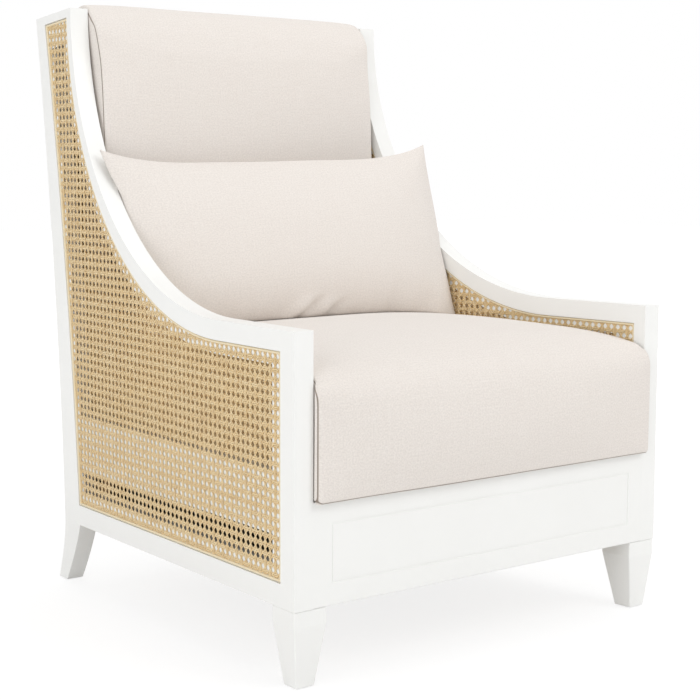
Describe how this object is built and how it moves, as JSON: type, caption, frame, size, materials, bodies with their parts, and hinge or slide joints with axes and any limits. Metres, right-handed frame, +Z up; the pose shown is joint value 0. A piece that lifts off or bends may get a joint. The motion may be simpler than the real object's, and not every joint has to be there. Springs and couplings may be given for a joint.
{
  "type": "club chair",
  "caption": "Club chair with a lacquered wood frame, cane side panels that sweep up into wings, an upholstered back, a loose seat cushion and a lumbar pillow.",
  "frame": {"origin": "on the floor, under the middle of the chair's length and width", "axes": "+Z up, the chair's front faces -Y, +X is the right of the picture"},
  "size_m": [0.7198, 0.8102, 0.9635],
  "materials": {
    "lacquer": "white satin lacquer on hardwood",
    "cane": "natural woven rattan cane and split-reed spline",
    "hardwood": "unfinished frame hardwood, out of sight",
    "steel": "zinc plated",
    "nylon": "moulded nylon",
    "webbing": "woven elastic webbing",
    "linen": "ivory linen weave over foam and down",
    "cambric": "unbleached spun cambric"
  },
  "bodies": {
    "chair_frame": {"left_arm": "lacquer", "right_arm": "lacquer", "left_front_post": "lacquer", "right_front_post": "lacquer", "left_rear_post": "lacquer", "right_rear_post": "lacquer", "left_top_rail": "lacquer", "right_top_rail": "lacquer", "left_bottom_rail": "lacquer", "right_bottom_rail": "lacquer", "left_seat_rail": "lacquer", "right_seat_rail": "lacquer", "left_front_leg": "lacquer", "right_front_leg": "lacquer", "left_outer_cane": "cane", "right_outer_cane": "cane", "left_outer_spline": "cane", "right_outer_spline": "cane", "left_inner_cane": "cane", "right_inner_cane": "cane", "left_inner_spline": "cane", "right_inner_spline": "cane", "left_deck_cleat": "hardwood", "right_deck_cleat": "hardwood", "left_front_corner_block": "hardwood", "right_front_corner_block": "hardwood", "left_rear_corner_block": "hardwood", "right_rear_corner_block": "hardwood", "left_back_stile": "hardwood", "right_back_stile": "hardwood", "left_leg_stud": "steel", "right_leg_stud": "steel", "left_front_glide": "nylon", "right_front_glide": "nylon", "left_rear_glide": "nylon", "right_rear_glide": "nylon", "front_rail": "lacquer", "rear_rail": "lacquer", "front_deck_rail": "hardwood", "rear_deck_rail": "hardwood", "crest_rail": "hardwood", "lower_back_rail": "hardwood", "seat_strap_1": "webbing", "seat_strap_2": "webbing", "seat_strap_3": "webbing", "seat_strap_4": "webbing", "cross_strap_1": "webbing", "cross_strap_2": "webbing", "cross_strap_3": "webbing", "cross_strap_4": "webbing", "back_strap_1": "webbing", "back_strap_2": "webbing", "back_strap_3": "webbing", "back_pad": "linen", "outside_back": "linen", "dust_cover": "cambric"},
    "seat_cushion": {"seat_cushion": "linen"},
    "lumbar_pillow": {"lumbar_pillow": "linen"}
  },
  "joints": [
    {"name": "seat_cushion_lift", "type": "slide", "parent": "chair_frame", "child": "seat_cushion", "axis": [0, 0, 1], "range_m": [0, 0.25]},
    {"name": "lumbar_pillow_lift", "type": "slide", "parent": "seat_cushion", "child": "lumbar_pillow", "axis": [0, 0, 1], "range_m": [0, 0.25]}
  ]
}
